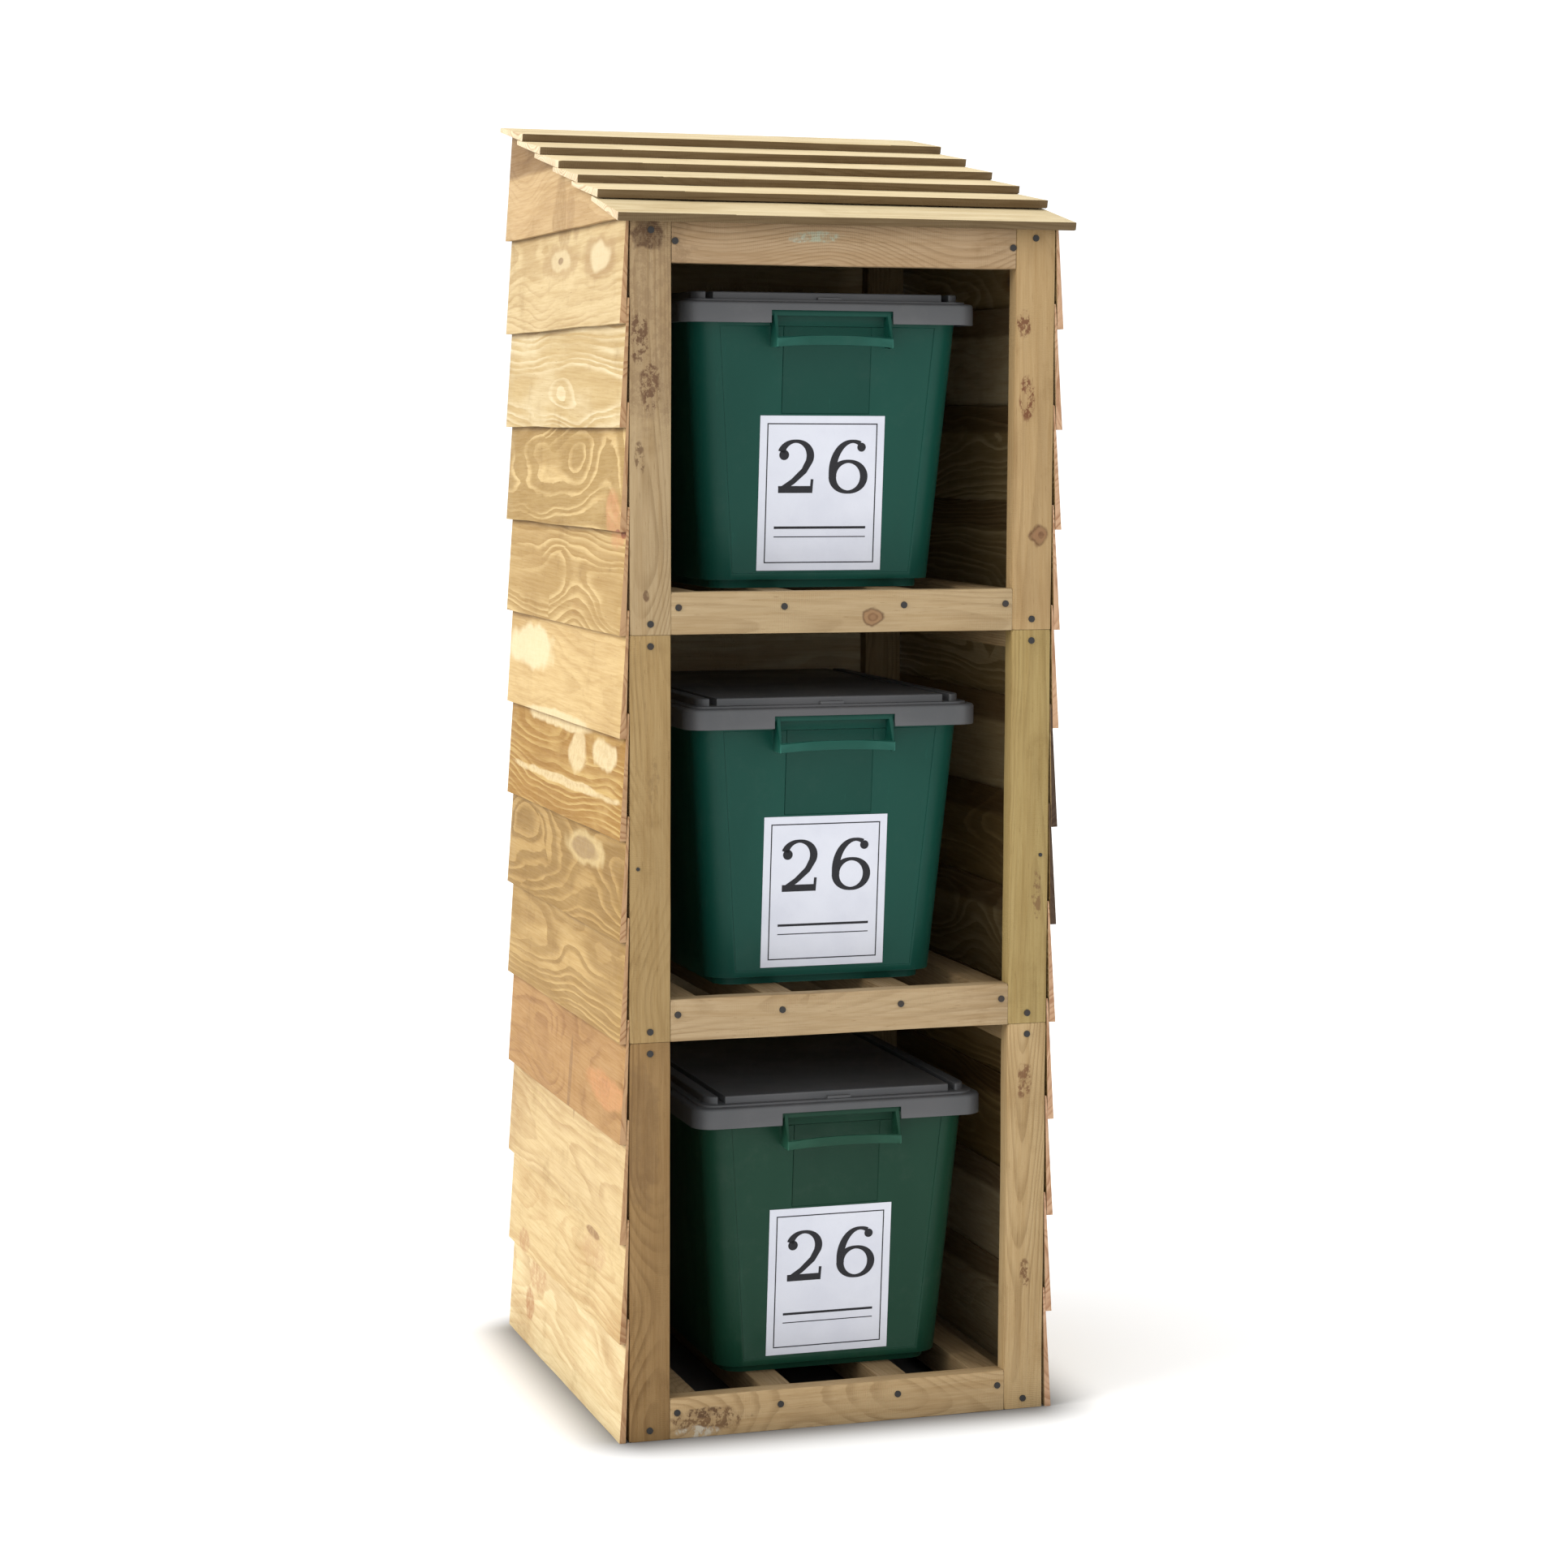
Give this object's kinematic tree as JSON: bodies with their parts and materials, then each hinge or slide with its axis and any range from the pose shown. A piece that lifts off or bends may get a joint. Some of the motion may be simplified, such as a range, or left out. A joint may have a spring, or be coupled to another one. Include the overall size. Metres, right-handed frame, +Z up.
{
  "type": "recycling bin station",
  "caption": "Tall open-fronted timber store of stacked slatted bays with lapped cladding and a lean-to roof, each bay holding a lidded kerbside recycling box.",
  "frame": {"origin": "middle of the whole footprint, roof overhang included, on the ground", "axes": "+X to the right across the open front, +Y from the open front to the back wall, +Z up"},
  "size_m": [0.567, 0.594, 1.5928],
  "materials": {
    "frame_timber": "rough sawn, pressure treated",
    "cladding_timber": "rough sawn feather-edge, pressure treated",
    "roof_timber": "rough sawn feather-edge, pressure treated",
    "bin_plastic": "satin moulded",
    "lid_plastic": "satin moulded",
    "label_card": "smooth printed",
    "nail_steel": "dull wire"
  },
  "bodies": {
    "store": {"bottom_front_left_post": "frame_timber", "bottom_front_right_post": "frame_timber", "bottom_back_left_post": "frame_timber", "bottom_back_right_post": "frame_timber", "bottom_front_rail": "frame_timber", "bottom_back_rail": "frame_timber", "bottom_slats": "frame_timber", "middle_front_left_post": "frame_timber", "middle_front_right_post": "frame_timber", "middle_back_left_post": "frame_timber", "middle_back_right_post": "frame_timber", "middle_front_rail": "frame_timber", "middle_back_rail": "frame_timber", "middle_slats": "frame_timber", "top_front_left_post": "frame_timber", "top_front_right_post": "frame_timber", "top_back_left_post": "frame_timber", "top_back_right_post": "frame_timber", "top_front_rail": "frame_timber", "top_back_rail": "frame_timber", "top_slats": "frame_timber", "front_header": "frame_timber", "back_header": "frame_timber", "left_side_battens": "frame_timber", "right_side_battens": "frame_timber", "left_rafter": "frame_timber", "right_rafter": "frame_timber", "bottom_left_cladding": "cladding_timber", "bottom_right_cladding": "cladding_timber", "bottom_back_cladding": "cladding_timber", "middle_left_cladding": "cladding_timber", "middle_right_cladding": "cladding_timber", "middle_back_cladding": "cladding_timber", "top_left_cladding": "cladding_timber", "top_right_cladding": "cladding_timber", "top_back_cladding": "cladding_timber", "left_top_board": "cladding_timber", "right_top_board": "cladding_timber", "back_top_board": "cladding_timber", "roof_board_1": "roof_timber", "roof_board_2": "roof_timber", "roof_board_3": "roof_timber", "roof_board_4": "roof_timber", "roof_board_5": "roof_timber", "roof_board_6": "roof_timber", "post_nails": "nail_steel", "rail_nails": "nail_steel"},
    "bottom_box": {"bottom_bin": "bin_plastic", "bottom_label": "label_card"},
    "bottom_cover": {"bottom_lid": "lid_plastic"},
    "middle_box": {"middle_bin": "bin_plastic", "middle_label": "label_card"},
    "middle_cover": {"middle_lid": "lid_plastic"},
    "top_box": {"top_bin": "bin_plastic", "top_label": "label_card"},
    "top_cover": {"top_lid": "lid_plastic"}
  },
  "joints": [
    {"name": "bottom_box_pull", "type": "slide", "parent": "store", "child": "bottom_box", "axis": [0, -1, 0], "range_m": [0, 0.55]},
    {"name": "bottom_lid_lift", "type": "slide", "parent": "bottom_box", "child": "bottom_cover", "axis": [0, 0, 1], "range_m": [0, 0.075]},
    {"name": "middle_box_pull", "type": "slide", "parent": "store", "child": "middle_box", "axis": [0, -1, 0], "range_m": [0, 0.55]},
    {"name": "middle_lid_lift", "type": "slide", "parent": "middle_box", "child": "middle_cover", "axis": [0, 0, 1], "range_m": [0, 0.075]},
    {"name": "top_box_pull", "type": "slide", "parent": "store", "child": "top_box", "axis": [0, -1, 0], "range_m": [0, 0.55]},
    {"name": "top_lid_lift", "type": "slide", "parent": "top_box", "child": "top_cover", "axis": [0, 0, 1], "range_m": [0, 0.026]}
  ]
}
